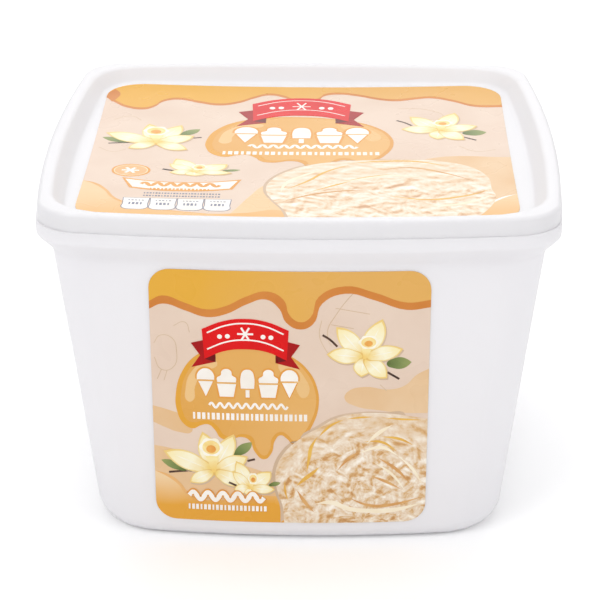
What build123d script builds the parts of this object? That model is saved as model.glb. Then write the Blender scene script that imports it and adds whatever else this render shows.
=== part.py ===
from build123d import *
import os

# Square plastic tub for bulk ice cream with a push-on lid, shut, with its in-mould labels.
# Millimetres, +Z up, origin under the middle of the tub, front of the pack towards -Y.

# Plan of the pack, at the lid: a square with bowed sides and round corners
lid_width = 240.0           # across X, from the middle of one side to the middle of the other
lid_depth = 240.0           # the same across Y
lid_bow = 6.9               # how far each side stands out past the line between its corners
lid_corner_radius = 15.0

# Heights of the shut pack
pack_height = 163.0         # from the ground to the top of the lid's rim
skirt_height = 8.4          # upright band of the lid
collar_height = 14.5        # the tub's collar under the lid: an upright band and a slope
collar_band = 6.0           # height of its upright band

# Tub
collar_step = 5.0           # how far the collar stands out in the middle of each side
wall_bow = 8.6
wall_corner_radius = 15.5
draft_x = 0.120             # inward lean of the left and right walls, for each mm of height
draft_y = 0.062             # inward lean of the front and back walls
base_bow = 8.2
base_corner_radius = 24.0
base_edge_radius = 8.0      # round between the walls and the base
foot_width = 11.0           # flat ring round the underside, inside the round edge
foot_recess = 1.2           # depth of the recess inside that ring

# Lid
lid_wall = 1.4
lid_fit = 0.2               # play between the lid's skirt and the tub's neck
lid_ledge = 0.8             # how far the skirt stands inside the collar's edge
rim_width = 6.4             # from the collar's edge to the inner edge of the raised rim
rim_round = 1.8             # rounding of the rim's two top edges
recess_corner_radius = 22.0     # inner corners of the rim
recess_run = 6.0            # sideways run of the wall from the rim down to the panel
panel_drop = 7.0            # from the top of the rim to the corners of the panel
panel_sag = 3.0             # further drop from the panel's corners to its middle

# Labels
film = 0.25
front_label_width = 123.0
front_label_base = 10.5     # from the ground to its lower edge
front_label_gap = 2.6       # from its upper edge to the collar
front_label_shift = -3.5    # sideways from the middle of the wall
front_label_radius = 9.5
lid_label_gap = 0.4         # from the straight line between the panel's corners to its edge
lid_label_taper = 3.0       # how much narrower each side is at the front than at the back
lid_label_shift = -0.8
lid_label_radius = 20.0

# Heights that follow from those
collar_top = pack_height - skirt_height
wall_top = collar_top - collar_height
neck_top = pack_height - lid_wall
deep = 40.0                 # reach of the cutting bodies past what they cut


def plan(height, width, depth, bow, radius):
    """Square outline with bowed sides and round corners, as a face at that height."""
    side_x = width / 2 - bow
    side_y = depth / 2 - bow
    with BuildSketch(Plane.XY.offset(height)) as outline:
        with BuildLine():
            ThreePointArc((-side_x, -side_y), (0, -depth / 2), (side_x, -side_y))
            ThreePointArc((side_x, -side_y), (width / 2, 0), (side_x, side_y))
            ThreePointArc((side_x, side_y), (0, depth / 2), (-side_x, side_y))
            ThreePointArc((-side_x, side_y), (-width / 2, 0), (-side_x, -side_y))
        make_face()
        fillet(outline.vertices(), radius)
    return outline.sketch


def lid_plan(height, inset):
    """Outline of the collar and the lid, moved in by inset on each side."""
    return plan(height, lid_width - 2 * inset, lid_depth - 2 * inset,
                lid_bow, lid_corner_radius - inset)


def recess_plan(height, inset):
    """Outline of the recess in the lid, whose corners are rounder than the lid's."""
    radius = recess_corner_radius - 0.8 * (inset - rim_width)
    return plan(height, lid_width - 2 * inset, lid_depth - 2 * inset, lid_bow, radius)


def wall_plan(height, stand_off=0.0):
    """Outline of the tub's wall at a height below the collar, moved out by stand_off."""
    below = wall_top - height
    share = below / wall_top
    width = lid_width - 2 * collar_step - 2 * draft_x * below
    depth = lid_depth - 2 * collar_step - 2 * draft_y * below
    bow = wall_bow + (base_bow - wall_bow) * share
    radius = wall_corner_radius + (base_corner_radius - wall_corner_radius) * share
    radius = max(radius + stand_off, 0.3 * radius)
    return plan(height, width + 2 * stand_off, depth + 2 * stand_off, bow, radius)


# The panel of the lid is dished, as part of a large ball that touches its four corners.
panel_inset = rim_width + recess_run
panel_reach = ((lid_width / 2 - lid_bow - panel_inset) ** 2
               + (lid_depth / 2 - lid_bow - panel_inset) ** 2) ** 0.5
dish_radius = (panel_reach ** 2 + panel_sag ** 2) / (2 * panel_sag)
dish_low = pack_height - panel_drop - panel_sag
dish_centre = Plane.XY.offset(dish_low + dish_radius)
slope_run = recess_run / panel_drop         # lean of the recess's wall


def recess(skin, top=pack_height + 1):
    """The room above the panel, grown by skin for the underside of the lid."""
    def section(height):
        return recess_plan(height, rim_width + slope_run * (pack_height - height) - skin)
    with BuildPart() as room:
        loft([section(top), section(dish_low - skin - 1)], ruled=True)
        with Locations(dish_centre):
            Sphere(dish_radius + skin, mode=Mode.INTERSECT)
    return room.part


# Tub: tapered wall, collar and neck. It is full, so it is solid up to the lid's panel.
with BuildPart() as tub:
    loft([wall_plan(0), wall_plan(wall_top)], ruled=True)
    fillet(tub.faces().sort_by(Axis.Z)[0].edges(), base_edge_radius)
    loft([wall_plan(wall_top), lid_plan(collar_top - collar_band, 0)], ruled=True)
    with BuildSketch(Plane.XY.offset(collar_top - collar_band)):
        add(lid_plan(0, 0))
    extrude(amount=collar_band)
    with BuildSketch(Plane.XY.offset(collar_top)):
        add(lid_plan(0, lid_ledge + lid_wall + lid_fit))
    extrude(amount=neck_top - collar_top)
    add(recess(lid_wall, pack_height), mode=Mode.SUBTRACT)
    with BuildSketch():
        add(wall_plan(0, -base_edge_radius - foot_width))
    extrude(amount=foot_recess, mode=Mode.SUBTRACT)

# Lid: upright skirt open from below for the tub's neck, raised rim and sunken panel
with BuildPart() as lid:
    with BuildSketch(Plane.XY.offset(collar_top)):
        add(lid_plan(0, lid_ledge))
    extrude(amount=skirt_height)
    with BuildSketch(Plane.XY.offset(collar_top)):
        add(lid_plan(0, lid_ledge + lid_wall))
    extrude(amount=neck_top - collar_top, mode=Mode.SUBTRACT)
    add(recess(lid_wall, pack_height))
    add(recess(0), mode=Mode.SUBTRACT)
    fillet(lid.edges().filter_by_position(Axis.Z, pack_height, pack_height), rim_round)

# Printed film on the front wall. The back wall has the same one, turned about the tub's axis.
front_label_height = wall_top - front_label_base - front_label_gap
label_middle = front_label_base + front_label_height / 2
with BuildPart() as label_front:
    with BuildSketch(Plane.XZ.offset(0)):
        with Locations((front_label_shift, label_middle)):
            RectangleRounded(front_label_width, front_label_height, front_label_radius)
    extrude(amount=lid_depth)
    with BuildPart(mode=Mode.INTERSECT):
        loft([wall_plan(0, film), wall_plan(wall_top, film)], ruled=True)
    with BuildPart(mode=Mode.SUBTRACT):
        loft([wall_plan(0), wall_plan(wall_top)], ruled=True)

with BuildPart() as label_back:
    add(label_front.part.rotate(Axis.Z, 180))

# Printed film on the lid's panel
lid_label_half = lid_width / 2 - panel_inset - lid_bow + lid_label_gap
lid_label_deep = lid_depth / 2 - panel_inset - lid_bow - lid_label_gap
lid_label_corners = [
    (lid_label_shift - lid_label_half, lid_label_deep),
    (lid_label_shift + lid_label_half, lid_label_deep),
    (lid_label_shift + lid_label_half - lid_label_taper, -lid_label_deep),
    (lid_label_shift - lid_label_half + lid_label_taper, -lid_label_deep),
]
with BuildPart() as label_lid:
    with BuildSketch(Plane.XY.offset(dish_low - deep)) as lid_label_outline:
        with BuildLine():
            Polyline(*lid_label_corners, close=True)
        make_face()
        fillet(lid_label_outline.vertices(), lid_label_radius)
    extrude(amount=2 * deep)
    with Locations(dish_centre):
        Sphere(dish_radius, mode=Mode.INTERSECT)
        Sphere(dish_radius - film, mode=Mode.SUBTRACT)

pieces = {
    "tub": tub,
    "lid": lid,
    "label_front": label_front,
    "label_back": label_back,
    "label_lid": label_lid,
}
os.makedirs("parts", exist_ok=True)
for name, piece in pieces.items():
    piece.part.label = name
    export_step(piece.part, f"parts/{name}.step")
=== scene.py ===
import math

import bmesh
import bpy
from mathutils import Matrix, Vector


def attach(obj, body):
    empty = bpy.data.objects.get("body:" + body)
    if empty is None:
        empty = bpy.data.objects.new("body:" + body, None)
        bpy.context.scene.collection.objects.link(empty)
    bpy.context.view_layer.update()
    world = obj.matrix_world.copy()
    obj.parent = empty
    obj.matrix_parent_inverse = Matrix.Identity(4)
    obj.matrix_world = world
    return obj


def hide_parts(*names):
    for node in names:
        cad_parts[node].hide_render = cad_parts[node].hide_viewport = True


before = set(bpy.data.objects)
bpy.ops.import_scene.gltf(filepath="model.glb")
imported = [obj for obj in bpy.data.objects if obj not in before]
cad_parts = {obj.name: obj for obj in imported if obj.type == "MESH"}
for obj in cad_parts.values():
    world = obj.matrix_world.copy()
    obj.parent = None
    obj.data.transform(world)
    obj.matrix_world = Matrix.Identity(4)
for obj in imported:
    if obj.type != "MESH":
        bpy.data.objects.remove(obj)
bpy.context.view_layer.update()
mm = 0.001
smoothAngle = math.radians(35)      # plastic edges sharper than this stay sharp


# Small helpers for working in edit mode

def clearSelection():
    if bpy.context.mode != "OBJECT":
        bpy.ops.object.mode_set(mode="OBJECT")
    bpy.ops.object.select_all(action="DESELECT")


def makeActive(piece):
    clearSelection()
    piece.select_set(True)
    bpy.context.view_layer.objects.active = piece


def startEditing(piece, kind="FACE"):
    makeActive(piece)
    bpy.ops.object.mode_set(mode="EDIT")
    bpy.ops.mesh.select_mode(type=kind)
    bpy.ops.mesh.select_all(action="DESELECT")


def pickFaces(piece, wanted):
    mesh = bmesh.from_edit_mesh(piece.data)
    for face in mesh.faces:
        face.select_set(wanted(face.calc_center_median(), face.normal))
    mesh.select_flush_mode()
    bmesh.update_edit_mesh(piece.data)


def pickEdges(piece, wanted):
    mesh = bmesh.from_edit_mesh(piece.data)
    for edge in mesh.edges:
        ends = [vert.co for vert in edge.verts]
        edge.select_set(wanted(ends[0], ends[1]))
    mesh.select_flush_mode()
    bmesh.update_edit_mesh(piece.data)


def applyModifiers(piece):
    makeActive(piece)
    for modifier in list(piece.modifiers):
        bpy.ops.object.modifier_apply(modifier=modifier.name)


def smoothByAngle(piece):
    makeActive(piece)
    bpy.ops.object.shade_smooth_by_angle(angle=smoothAngle)


def roundPicked(radius, segments):
    bpy.ops.mesh.bevel(offset=radius * mm, segments=segments, profile=0.5, affect="EDGES")


def isLevel(spot, height, slack=0.01):
    return abs(spot.z - height * mm) < slack * mm


def within(value, low=0.0, high=1.0):
    return min(high, max(low, value))


def setMaterial(piece, material):
    piece.data.materials.clear()
    piece.data.materials.append(material)


def finishPiece(piece, node):
    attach(piece, "root")
    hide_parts(node)


# The pack's plan: a square with round corners whose sides bow outwards

tubLook = {
    "topWidth": 239.8, "topDepth": 239.8,      # across the collar's top, mm
    "wallWidth": 230.0, "wallDepth": 230.0,    # across the wall just under the collar
    "baseWidth": 196.4, "baseDepth": 212.6,
    "topBow": 6.9, "wallBow": 8.6, "baseBow": 8.2,   # how far each side stands out between its corners
    "cornerRadius": 13.5, "topRadius": 16.5,   # corners of the wall and of the lid
    "baseRadius": 23.0,                        # the wall's corners, where they get rounder down to the base
    "radiusGrowth": 0.13,                      # share by which the corners have grown at the wall's top
    "neckWall": 2.4, "neckDepth": 12.0, "neckPlay": 0.1,   # the neck inside the lid
    "collarTop": 154.6, "wallTop": 140.1,      # heights
    "collarBand": 6.0,                         # upright part of the collar
    "wallRows": 10, "sideColumns": 22, "cornerSegments": 12,
    "baseRound": 8.0, "footRing": 11.0, "footRecess": 1.2,
    "collarFillet": 2.0, "bandFillet": 1.2, "ledgeRound": 0.65,
    "rimSag": 0.6,                             # the middle of each side hangs this much below the corners
}


def roundedBlock(name, width, depth, low, high, radius, columns, segments):
    # a cube whose upright edges are bevelled round, with its sides cut into columns
    bpy.ops.mesh.primitive_cube_add(size=1, location=(0, 0, (low + high) / 2 * mm),
                                    scale=(width * mm, depth * mm, (high - low) * mm))
    piece = bpy.context.object
    piece.name = name
    bpy.ops.object.transform_apply(location=True, rotation=True, scale=True)
    startEditing(piece, "EDGE")
    pickEdges(piece, lambda a, b: abs(a.z - b.z) > 0.1 * mm)
    roundPicked(radius, segments)
    longSide = (min(width, depth) - 2 * radius) * mm * 0.9
    pickEdges(piece, lambda a, b: abs(a.z - b.z) < 0.01 * mm and (a - b).length > longSide)
    bpy.ops.mesh.subdivide(number_cuts=columns - 1)
    bpy.ops.mesh.select_mode(type="FACE")
    return piece


def liftPicked(rise):
    bpy.ops.mesh.extrude_region_move(TRANSFORM_OT_translate={"value": (0, 0, rise)})


def leanTo(height, below):
    # the picked face, which has the wall's size at the lower height, takes its size at the upper one
    widthShare = straightWidth(height) / straightWidth(below)
    depthShare = straightDepth(height) / straightDepth(below)
    bpy.ops.transform.resize(value=(widthShare, depthShare, 1), center_override=(0, 0, height * mm))


def raiseTop(piece, height, below):
    # one more level: the face on top goes up to that height and takes the wall's size there
    mesh = bmesh.from_edit_mesh(piece.data)
    top = max(vert.co.z for vert in mesh.verts)
    pickFaces(piece, lambda centre, normal: normal.z > 0.9 and centre.z > top - 0.01 * mm)
    liftPicked(height * mm - top)
    leanTo(height, below)


def bowSides(piece):
    # pushes the sides out between the corners, most in the middle, and lets the rim hang there
    for vert in piece.data.vertices:
        z = vert.co.z / mm
        acrossX = vert.co.x / (straightWidth(z) / 2 * mm)
        acrossY = vert.co.y / (straightDepth(z) / 2 * mm)
        bulge = bowAtHeight(z) * mm
        vert.co.x += bulge * acrossX * max(0.0, 1 - acrossY ** 2)
        vert.co.y += bulge * acrossY * max(0.0, 1 - acrossX ** 2)
        vert.co.z -= tubLook["rimSag"] * mm * collarShare(z) * max(0.0, 1 - (acrossX * acrossY) ** 2)


def collarShare(z):
    # how far up the collar's slope a height is, from 0 at the wall to 1 at the upright band
    look = tubLook
    return within((z - look["wallTop"]) / (look["collarTop"] - look["collarBand"] - look["wallTop"]))


def bowAtHeight(z):
    look = tubLook
    if z > look["wallTop"]:
        return look["wallBow"] + (look["topBow"] - look["wallBow"]) * collarShare(z)
    return look["baseBow"] + (look["wallBow"] - look["baseBow"]) * max(0.0, z / look["wallTop"])


def straightSize(which, z):
    # width or depth between the corners at a height, without the bow
    look = tubLook
    base, wall, top = look["base" + which], look["wall" + which], look["top" + which]
    if z <= look["wallTop"]:
        full = base + (wall - base) * max(0.0, z / look["wallTop"])
    else:
        full = wall + (top - wall) * collarShare(z)
    return full - 2 * bowAtHeight(z)


def straightWidth(z):
    return straightSize("Width", z)


def straightDepth(z):
    return straightSize("Depth", z)


lidLook = {
    "wall": 1.4, "fit": 0.25,
    "top": 163.0,               # height of the rim
    "setBack": 0.8,             # the skirt stands this far inside the collar's edge
    "rim": 5.6, "rimRound": 1.9,
    "slopeRun": 6.0, "panelDrop": 7.0,
    "cornerReach": 28.2,        # the recess's corners are drawn about a point this far in from the skirt
    "straightRim": 2.2,         # the rim keeps the skirt's corners this far in
    "turnRim": 1.2,             # and over this run it takes on the recess's
    "footRound": 1.6,           # soft line where the slope meets the panel
    "panelSag": 3.0, "panelRows": 12,
}


def pickTop(piece, level):
    pickFaces(piece, lambda centre, normal: normal.z > 0.9 and isLevel(centre, level, 0.05))


def insetPicked(thickness, depth):
    # the picked face gets a smaller one inside it, sunk by depth, which is then the picked one
    bpy.ops.mesh.inset(thickness=thickness * mm, depth=-depth * mm, use_even_offset=True)


def cutNet(piece, side, level, half, rows):
    # cuts the flat faces at one height into a net of small ones, so that they can bend
    def isCut(centre, normal):
        return normal.z * side > 0.9 and isLevel(centre, level, 0.05)

    for turn in range(1, 2 * rows):
        place = (turn / rows - 1) * half * mm
        for normal in ((1, 0, 0), (0, 1, 0)):
            pickFaces(piece, isCut)
            bpy.ops.mesh.bisect(plane_co=(place * normal[0], place * normal[1], 0), plane_no=normal)


def reshapeCorner(spot, halfX, halfY, now, then, share):
    # moves a point of a square outline whose corner radius changes; points inside it keep their inset
    x, y = abs(spot.x) / mm, abs(spot.y) / mm
    overX, overY = x - (halfX - then), y - (halfY - then)
    if min(overX, overY) <= 0:
        return
    if x > halfX - now and y > halfY - now:
        inset = now - math.hypot(x - halfX + now, y - halfY + now)
    else:
        inset = min(halfX - x, halfY - y)
    stretch = 1 + ((then - inset) / math.hypot(overX, overY) - 1) * share(inset)
    spot.x = math.copysign(halfX - then + overX * stretch, spot.x) * mm
    spot.y = math.copysign(halfY - then + overY * stretch, spot.y) * mm


def roundRecess(piece):
    # gives the recess in the lid rounder corners than the skirt
    look = lidLook
    half = straightWidth(look["top"]) / 2 - look["setBack"]
    for vert in piece.data.vertices:
        reshapeCorner(vert.co, half, half, tubLook["topRadius"], look["cornerReach"],
                      lambda inset: within((inset - look["straightRim"]) / look["turnRim"]))


def roundBase(piece):
    # makes the wall's corners rounder the nearer they are to the base
    look = tubLook
    for vert in piece.data.vertices:
        z = vert.co.z / mm
        if z < look["wallTop"] * 0.98:
            share = 1 - z / look["wallTop"]
            now = look["cornerRadius"] * (1 + look["radiusGrowth"] * z / look["wallTop"])
            reshapeCorner(vert.co, straightWidth(z) / 2, straightDepth(z) / 2, now,
                          now + (look["baseRadius"] - look["cornerRadius"]) * share, lambda inset: 1.0)


def dishPanel(piece, top, inset, side):
    # lowers the middle of the panel and the foot of the slope round it, as part of a large ball
    look = lidLook
    half = straightWidth(look["top"]) / 2 - look["setBack"] - inset + 0.1
    reach = panelReach()
    for vert in piece.data.vertices:
        x, y, z = vert.co / mm
        if max(abs(x), abs(y)) < half and vert.normal.z * side > 0.05:
            share = within((top - z) / look["panelDrop"])
            vert.co.z -= look["panelSag"] * mm * share * max(0.0, 1 - (x * x + y * y) / reach ** 2)


def bevelLevel(piece, level, flat, radius, segments):
    # rounds the edges at one height that lie between a flat face and a steep one
    bpy.ops.mesh.select_mode(type="EDGE")
    mesh = bmesh.from_edit_mesh(piece.data)
    for edge in mesh.edges:
        here = all(isLevel(vert.co, level, 0.02) for vert in edge.verts)
        tilts = sorted(abs(face.normal.z) for face in edge.link_faces)
        edge.select_set(here and tilts[0] < flat < tilts[1])
    mesh.select_flush_mode()
    bmesh.update_edit_mesh(piece.data)
    roundPicked(radius, segments)


def makeTub():
    look = tubLook
    levels = [look["wallTop"] * (row + 1) / look["wallRows"] for row in range(look["wallRows"])]
    piece = roundedBlock("tubShell", straightWidth(0), straightDepth(0), 0, levels[0], look["cornerRadius"],
                         look["sideColumns"], look["cornerSegments"])
    # the first slab takes the wall's lean, and the next ones are added on top of it
    pickFaces(piece, lambda centre, normal: normal.z > 0.9)
    leanTo(levels[0], 0)
    bandFoot = look["collarTop"] - look["collarBand"]
    levels += [bandFoot, look["collarTop"]]
    for below, level in zip(levels, levels[1:]):
        raiseTop(piece, level, below)
    # the neck that goes up inside the lid, and the sunken top under the lid's panel
    neckHeight = lidLook["top"] - lidLook["wall"] - look["neckPlay"] - look["collarTop"]
    pickTop(piece, look["collarTop"])
    insetPicked(lidLook["wall"] + lidLook["fit"] + lidLook["setBack"], 0)
    liftPicked(neckHeight * mm)
    insetPicked(look["neckWall"], 0)
    insetPicked(0.8, look["neckDepth"])
    # underside: round edge, foot ring and shallow recess
    bevelLevel(piece, 0, 0.5, look["baseRound"], 6)
    bpy.ops.mesh.select_mode(type="FACE")
    pickFaces(piece, lambda centre, normal: normal.z < -0.99 and isLevel(centre, 0))
    bpy.ops.mesh.inset(thickness=0.5 * mm, depth=0)
    shrink = 1 - 2 * look["footRing"] / look["baseWidth"]
    bpy.ops.transform.resize(value=(shrink, shrink, 1), center_override=(0, 0, 0))
    bpy.ops.mesh.inset(thickness=0.8 * mm, depth=-look["footRecess"] * mm)
    # soft lines: the collar's foot, the foot of its band and the small ledge round its top
    for level, radius in ((look["wallTop"], look["collarFillet"]), (bandFoot, look["bandFillet"])):
        pickEdges(piece, lambda a, b: isLevel(a, level) and isLevel(b, level))
        roundPicked(radius, 3)
    rimHalf = straightWidth(look["collarTop"]) / 2 * mm
    pickEdges(piece, lambda a, b: all(isLevel(end, look["collarTop"]) and collarEdge(end, rimHalf)
                                      for end in (a, b)))
    roundPicked(look["ledgeRound"], 2)
    bpy.ops.object.mode_set(mode="OBJECT")
    roundBase(piece)
    bowSides(piece)
    smoothByAngle(piece)
    return piece


def collarEdge(spot, half):
    # whether a point lies on the outermost line round the collar's top
    radius = tubLook["topRadius"] * mm
    overX, overY = abs(spot.x) - (half - radius), abs(spot.y) - (half - radius)
    if min(overX, overY) > 0:
        return math.hypot(overX, overY) > radius * 0.93
    return max(overX, overY) > radius - 0.05 * mm


def makeLid():
    look, tub = lidLook, tubLook
    low = tub["collarTop"]
    narrow = 2 * look["setBack"]
    piece = roundedBlock("lidShell", straightWidth(low) - narrow, straightDepth(low) - narrow, low,
                         look["top"], tub["topRadius"], tub["sideColumns"], tub["cornerSegments"])
    # under the lid: the hollow that takes the tub's neck
    pickFaces(piece, lambda centre, normal: normal.z < -0.9)
    bpy.ops.mesh.inset(thickness=look["wall"] * mm, depth=0)
    bpy.ops.mesh.inset(thickness=0, depth=-(look["top"] - look["wall"] - low) * mm)
    bpy.ops.mesh.inset(thickness=(look["rim"] - 2.6) * mm, depth=0)
    bpy.ops.mesh.inset(thickness=look["slopeRun"] * mm, depth=look["panelDrop"] * mm)
    # on top: rim, slope and panel
    pickTop(piece, look["top"])
    insetPicked(look["rim"], 0)
    insetPicked(look["slopeRun"], look["panelDrop"])
    bpy.ops.mesh.select_mode(type="FACE")
    panel = look["top"] - look["panelDrop"]
    netHalf = tub["topWidth"] / 2 - look["rim"]
    cutNet(piece, 1, panel, netHalf, look["panelRows"])
    cutNet(piece, -1, panel - look["wall"], netHalf, look["panelRows"] // 2)
    # round the rim's edges and the foot of the slope
    bevelLevel(piece, look["top"], 0.87, look["rimRound"], 4)
    bevelLevel(piece, panel, 0.87, look["footRound"], 3)
    bpy.ops.object.mode_set(mode="OBJECT")
    roundRecess(piece)
    dishPanel(piece, look["top"], look["rim"], 1)
    dishPanel(piece, look["top"] - look["wall"], look["rim"] - 1.2, -1)
    bowSides(piece)
    smoothByAngle(piece)
    return piece


def panelReach():
    # from the middle of the panel to its corners
    inset = lidLook["setBack"] + lidLook["rim"] + lidLook["slopeRun"]
    return math.hypot(straightWidth(lidLook["top"]) / 2 - inset, straightDepth(lidLook["top"]) / 2 - inset)


# Printed films: each is a flat plate with its print on it in thin raised fields of ink, drawn in
# millimetres about the label's middle, then cut into strips and laid on the wall or the lid

frontLook = {
    "width": 123.0, "height": 127.0, "corner": 9.5,
    "base": 10.5,             # its lower edge over the ground
    "shift": -3.5,            # its middle, to the right of the tub's
}
topLook = {
    "width": 202.2, "height": 200.6, "corner": 20.0, "shift": -0.8,
    "taper": 3.0,             # how much narrower each side is at the front than at the back
}
filmLook = {
    "thick": 0.2, "clearance": 0.03,      # the film, and its distance from the plastic
    "inkSunk": 0.05, "inkStep": 0.018,    # how far the ink goes into the film, and how much each layer adds
    "strip": 6.0, "cornerSteps": 9,
}
plates = []                   # the plates of ink on the film that is being drawn


def roundedSheet(name, width, height, corner):
    # a flat plate with round corners, lying in the XY plane about the origin
    bpy.ops.mesh.primitive_plane_add(size=1, location=(0, 0, 0))
    piece = bpy.context.object
    piece.name = name
    piece.scale = (width, height, 1)
    bpy.ops.object.transform_apply(location=True, rotation=True, scale=True)
    startEditing(piece, "VERT")
    bpy.ops.mesh.select_all(action="SELECT")
    bpy.ops.mesh.bevel(offset=corner, segments=filmLook["cornerSteps"], profile=0.5, affect="VERTICES")
    bpy.ops.object.mode_set(mode="OBJECT")
    return piece


def cutStrips(piece, spacing):
    # parallel cuts both ways, so that the flat plate can follow a curved wall
    corners = [vert.co for vert in piece.data.vertices]
    spans = [(min(co[axis] for co in corners), max(co[axis] for co in corners)) for axis in (0, 1)]
    startEditing(piece)
    for axis, (low, high) in enumerate(spans):
        count = max(1, math.ceil((high - low) / spacing))
        normal = tuple(1.0 if n == axis else 0.0 for n in range(3))
        for turn in range(1, count):
            place = low + (high - low) * turn / count
            bpy.ops.mesh.select_all(action="SELECT")
            bpy.ops.mesh.bisect(plane_co=tuple(place * n for n in normal), plane_no=normal)
    bpy.ops.object.mode_set(mode="OBJECT")


def thicken(piece, thickness):
    piece.modifiers.new("thickness", "SOLIDIFY").thickness = thickness
    piece.modifiers["thickness"].offset = 1
    applyModifiers(piece)


def keepFlatPlace(piece):
    # the UV map holds each spot's place on the flat label, in decimetres
    layer = piece.data.uv_layers.get("label") or piece.data.uv_layers.new(name="label")
    for loop in piece.data.loops:
        spot = piece.data.vertices[loop.vertex_index].co
        layer.data[loop.index].uv = (spot.x / 100, spot.y / 100)
    piece.data.uv_layers.active = layer


def layOn(piece, shell, side, look, middle):
    # lays the flat plate on the front wall or the lid: its own height over the XY plane is kept
    half, shift = look["width"] / 2, look["shift"]
    for vert in piece.data.vertices:
        u, v, over = vert.co
        border = max(0.0, abs(u) / half - 0.8) / 0.2
        u -= math.copysign(look.get("taper", 0) * (0.5 - v / look["height"]) * border, u)
        if side == "front":
            spot, way = Vector(((u + shift) * mm, -1, (v + middle) * mm)), Vector((0, 1, 0))
        else:
            spot, way = Vector(((u + shift) * mm, (v + middle) * mm, 1)), Vector((0, 0, -1))
        place = shell.ray_cast(spot, way)[1]
        vert.co = place - way * (over + filmLook["clearance"]) * mm


def turnedCopy(piece, name):
    # the same piece on the back wall
    clearSelection()
    twin = piece.copy()
    twin.data = piece.data.copy()
    twin.name = name
    bpy.context.collection.objects.link(twin)
    makeActive(twin)
    twin.rotation_euler = (0, 0, math.pi)
    bpy.ops.object.transform_apply(location=False, rotation=True, scale=False)
    return twin


def corner(u, v):
    # a point of an outline where it turns sharply
    return (u, v, True)


def cornerArc(look, sideU, sideV):
    # the points of one round corner of the label, sideways end first
    radius, steps = look["corner"], filmLook["cornerSteps"]
    centreU, centreV = look["width"] / 2 - radius, look["height"] / 2 - radius
    turns = [math.pi / 2 * step / steps for step in range(steps + 1)]
    return [corner(sideU * (centreU + radius * math.cos(turn)), sideV * (centreV + radius * math.sin(turn)))
            for turn in turns]


def placed(outline, at, size=(1, 1), turn=0.0):
    # an outline resized, turned by an angle in degrees, and moved
    cosine, sine = math.cos(math.radians(turn)), math.sin(math.radians(turn))
    result = []
    for u, v, *rest in outline:
        u, v = u * size[0], v * size[1]
        result.append((at[0] + u * cosine - v * sine, at[1] + u * sine + v * cosine, *rest))
    return result


def inkPlate(outline, ink, layer, root=None, reach=1.0):
    # fills a smooth outline as a thin plate whose height is its layer's; "reach" fades from its root
    drawing = bpy.data.curves.new(ink, "CURVE")
    drawing.dimensions = "2D"
    drawing.fill_mode = "BOTH"
    drawing.resolution_u = 5
    line = drawing.splines.new("BEZIER")
    line.bezier_points.add(len(outline) - 1)
    for knot, point in zip(line.bezier_points, outline):
        knot.co = (point[0], point[1], 0)
        kind = "VECTOR" if len(point) == 3 else "AUTO"
        knot.handle_left_type, knot.handle_right_type = kind, kind
    line.use_cyclic_u = True
    clearSelection()
    piece = bpy.data.objects.new(ink, drawing)
    bpy.context.collection.objects.link(piece)
    makeActive(piece)
    bpy.ops.object.convert(target="MESH")
    piece = bpy.context.object
    startEditing(piece)
    bpy.ops.mesh.select_all(action="SELECT")
    bpy.ops.mesh.remove_doubles(threshold=0.002)
    bpy.ops.mesh.dissolve_degenerate(threshold=0.002)
    bpy.ops.object.mode_set(mode="OBJECT")
    if sum(face.normal.z for face in piece.data.polygons) < 0:
        piece.data.flip_normals()
    for vert in piece.data.vertices:
        vert.co.z = filmLook["thick"] - filmLook["inkSunk"]
    thicken(piece, filmLook["inkSunk"] + filmLook["inkStep"] * layer)
    fade = piece.data.attributes.new("reach", "FLOAT", "POINT")
    if root:
        for vert in piece.data.vertices:
            away = math.hypot(vert.co.x - root[0], vert.co.y - root[1])
            fade.data[vert.index].value = min(1.0, away / reach)
    setMaterial(piece, inks[ink])
    plates.append(piece)


def inkAll(outlines, at, size, ink, layer):
    for outline in outlines:
        inkPlate(placed(outline, at, size), ink, layer)


def strokeOutline(path, width, taper=True):
    # both sides of a line of that width; its ends run to points or are cut square
    left, right = [], []
    for index, (u, v) in enumerate(path):
        before, after = path[max(0, index - 1)], path[min(len(path) - 1, index + 1)]
        alongU, alongV = after[0] - before[0], after[1] - before[1]
        length = math.hypot(alongU, alongV)
        atEnd = index in (0, len(path) - 1)
        half = 0.0 if (taper and atEnd) else width / 2
        point = (u - alongV / length * half, v + alongU / length * half)
        other = (u + alongV / length * half, v - alongU / length * half)
        left.append(corner(*point) if atEnd else point)
        if half:
            right.append(corner(*other) if atEnd else other)
    return left + right[::-1]


def stroke(path, width, ink, layer, taper=True):
    inkPlate(strokeOutline(path, width, taper), ink, layer)


def ringPoints(radiusU, radiusV, count=8):
    turns = [2 * math.pi * step / count for step in range(count)]
    return [(radiusU * math.cos(turn), radiusV * math.sin(turn)) for turn in turns]


def disc(at, radiusU, radiusV, ink, layer):
    inkPlate(placed(ringPoints(radiusU, radiusV, 6), at), ink, layer)


def petalOutline(length, width):
    # a leaf form along the U axis, from its narrow root at the origin to its tip
    profile = ((0.02, 0.14), (0.26, 0.40), (0.56, 0.50), (0.83, 0.30))
    above = [(length * along, width * half) for along, half in profile]
    below = [(length * along, -width * half * 0.94) for along, half in reversed(profile)]
    return above + [corner(length, width * 0.04)] + below


# Flowers, drawn about the spot where the petals meet: petals (tip and width, back ones first), the cup's
# middle and half sizes, leaves (start, direction, length, width) and dark pods

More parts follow.
